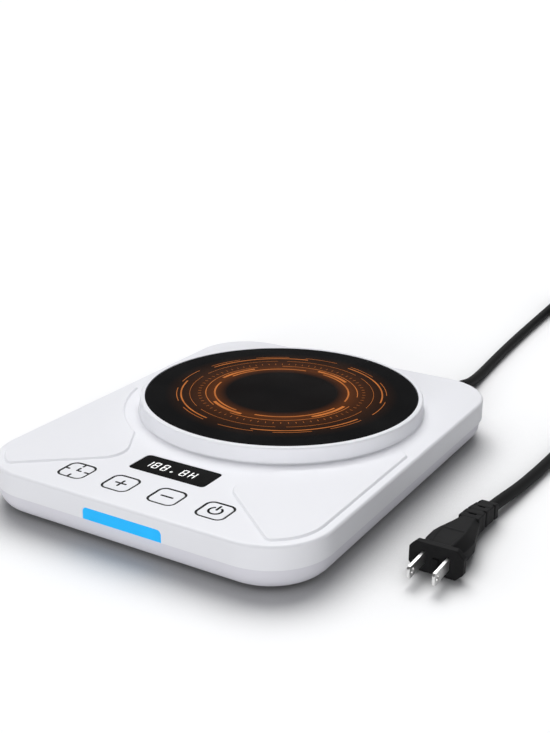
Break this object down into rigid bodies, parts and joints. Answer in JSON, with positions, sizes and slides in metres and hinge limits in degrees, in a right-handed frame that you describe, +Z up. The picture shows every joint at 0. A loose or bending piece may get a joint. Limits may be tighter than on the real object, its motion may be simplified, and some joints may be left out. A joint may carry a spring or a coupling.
{
  "type": "warming mat",
  "caption": "Flat rounded electric warming mat with a round black glass plate, press keys, a display, a light bar and a coiled mains cord with plug.",
  "frame": {"origin": "on the floor under the middle of the casing", "axes": "+X to the right as seen from the keys, +Y from the keys to the back, +Z up"},
  "size_m": [0.257, 0.6029, 0.0358],
  "materials": {
    "white_plastic": "satin white moulded plastic",
    "grey_plastic": "matt pale lilac-grey moulded plastic",
    "black_glass": "polished, printed black on its underside",
    "seal_rubber": "soft black silicone",
    "display_window": "polished black window",
    "light_bar": "translucent blue, lit from behind",
    "key_plastic": "satin white with a printed black sign",
    "cord_rubber": "satin black jacket",
    "blade_metal": "bright plated blades",
    "foot_rubber": "matt grey",
    "aluminium": "rolled sheet",
    "steel": "zinc plated",
    "mica": "pressed mica sheet",
    "wool": "ceramic fibre felt",
    "board": "green circuit board",
    "part_black": "moulded case",
    "part_blue": "moulded case",
    "part_yellow": "moulded case",
    "part_green": "moulded case",
    "part_white": "moulded case",
    "wire": "silicone jacket",
    "ribbon": "flat cable"
  },
  "bodies": {
    "casing": {"bar_lamps": "part_white", "casing_screws": "steel", "clamp_screws": "steel", "control_board": "board", "control_chip": "part_black", "control_screws": "steel", "cord_clamp": "grey_plastic", "cord_strain_relief": "cord_rubber", "cord_tail": "cord_rubber", "cord_tie": "seal_rubber", "cutout_screws": "steel", "display_module": "part_white", "display_window": "display_window", "filter_capacitor": "part_yellow", "foot_back_left": "foot_rubber", "foot_back_right": "foot_rubber", "foot_front_left": "foot_rubber", "foot_front_right": "foot_rubber", "fuse": "part_black", "glass_plate": "black_glass", "heat_spreader": "aluminium", "heater_element": "steel", "heater_leads": "wire", "heater_retainer": "steel", "insulation_disc": "wool", "key_seals": "seal_rubber", "key_switches": "part_black", "light_bar": "light_bar", "lower_shell": "grey_plastic", "mains_leads": "wire", "mains_terminals": "part_green", "mica_sheets": "mica", "plate_collar": "white_plastic", "plate_seal": "seal_rubber", "plate_sensor": "part_white", "plug_blades": "blade_metal", "plug_body": "cord_rubber", "power_board": "board", "power_cord_coil": "cord_rubber", "power_cord_front": "cord_rubber", "power_cord_rear": "cord_rubber", "power_relay": "part_blue", "power_screws": "steel", "retainer_screws": "steel", "ribbon_cable": "ribbon", "sensor_lead": "wire", "smoothing_capacitors": "part_black", "sounder": "part_black", "supply_transformer": "part_yellow", "thermal_cutout": "part_black", "upper_shell": "white_plastic"},
    "key_timer": {"key_cap_timer": "key_plastic", "switch_plunger_timer": "part_black"},
    "key_plus": {"key_cap_plus": "key_plastic", "switch_plunger_plus": "part_black"},
    "key_minus": {"key_cap_minus": "key_plastic", "switch_plunger_minus": "part_black"},
    "key_power": {"key_cap_power": "key_plastic", "switch_plunger_power": "part_black"}
  },
  "joints": [
    {"name": "key_timer_press", "type": "slide", "parent": "casing", "child": "key_timer", "axis": [0, 0, -1], "range_m": [0, 0.0004], "stiffness_N_per_m": 4000},
    {"name": "key_plus_press", "type": "slide", "parent": "casing", "child": "key_plus", "axis": [0, 0, -1], "range_m": [0, 0.0004], "stiffness_N_per_m": 4000},
    {"name": "key_minus_press", "type": "slide", "parent": "casing", "child": "key_minus", "axis": [0, 0, -1], "range_m": [0, 0.0004], "stiffness_N_per_m": 4000},
    {"name": "key_power_press", "type": "slide", "parent": "casing", "child": "key_power", "axis": [0, 0, -1], "range_m": [0, 0.0004], "stiffness_N_per_m": 4000}
  ]
}
